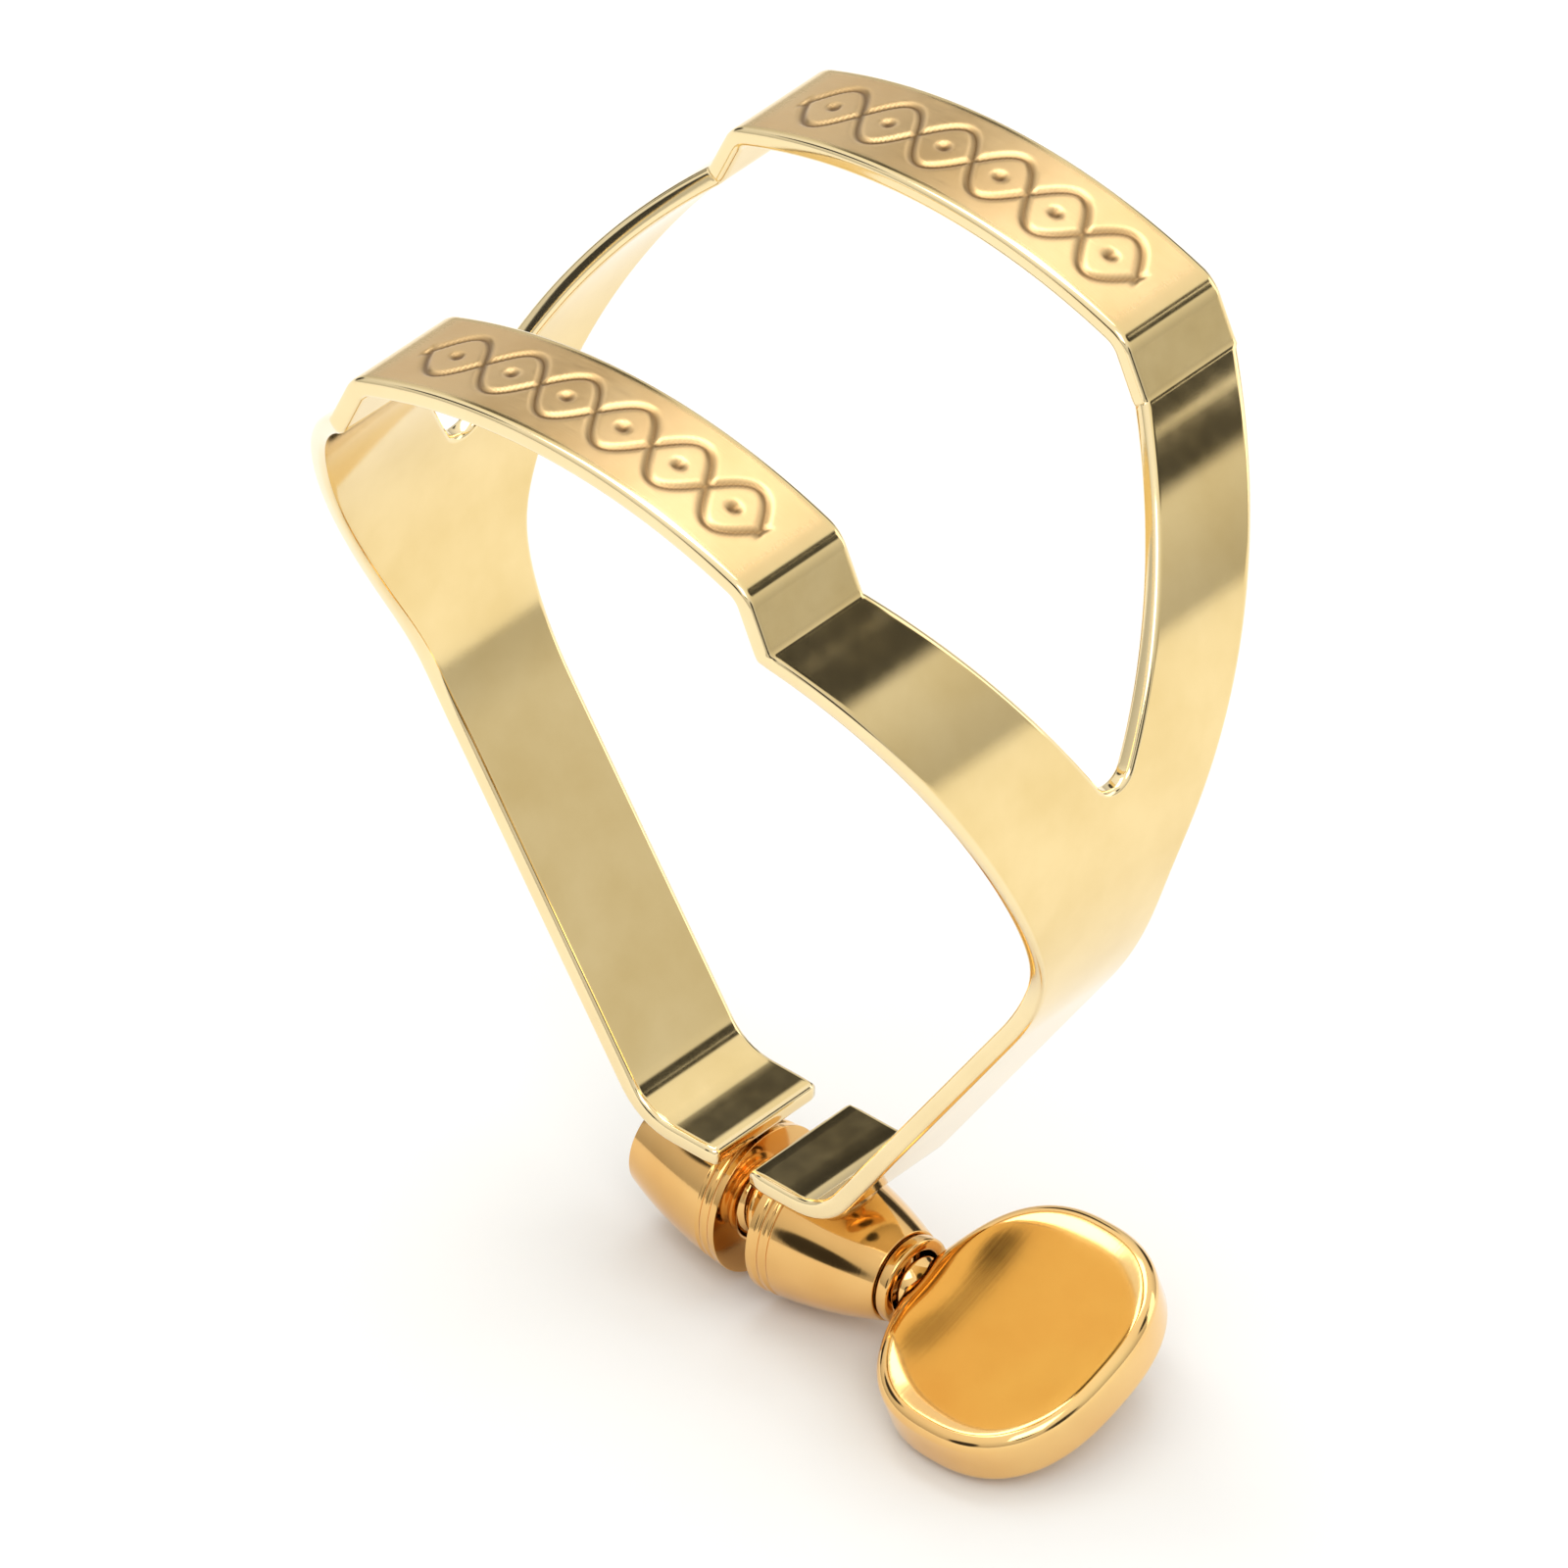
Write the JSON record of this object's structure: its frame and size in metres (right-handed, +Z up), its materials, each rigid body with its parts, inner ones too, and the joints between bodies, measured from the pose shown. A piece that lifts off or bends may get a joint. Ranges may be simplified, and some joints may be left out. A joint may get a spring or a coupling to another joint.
{
  "type": "saxophone ligature",
  "caption": "Sheet-brass saxophone ligature: a two-strap band that clamps a reed on a mouthpiece, closed by a thumbscrew through soldered posts.",
  "frame": {"origin": "on the axis of the mouthpiece that the band clamps, in the plane of the screw's axis", "axes": "+X along the mouthpiece towards its tip, +Y to the player's left, +Z up through the straps, with the screw below and its paddle at -Y"},
  "size_m": [0.0209, 0.027, 0.0373],
  "materials": {
    "lacquered_sheet": "gold lacquer, satin crown plates and polished straps",
    "turned_brass": "turned and gold lacquered, polished",
    "solder": "silver solder under lacquer",
    "paddle_brass": "polished, gold lacquered"
  },
  "bodies": {
    "band": {"band": "lacquered_sheet", "far_post": "turned_brass", "far_solder": "solder"},
    "near_jaw": {"near_arm": "lacquered_sheet", "near_post": "turned_brass", "near_solder": "solder"},
    "thumbscrew": {"screw_shank": "turned_brass", "screw_collar": "turned_brass", "thumb_paddle": "paddle_brass"}
  },
  "joints": [
    {"name": "jaw_flex", "type": "slide", "parent": "band", "child": "near_jaw", "axis": [0, -1, 0], "range_m": [0, 0.0012]},
    {"name": "screw_turn", "type": "hinge", "parent": "near_jaw", "child": "thumbscrew", "pos_m": [0, 0, -0.02105], "axis": [0, -1, 0], "range_deg": [0, 720]}
  ],
  "couplings": [
    {"joint": "screw_turn", "follows": "jaw_flex", "rad_per_m": 10472}
  ]
}
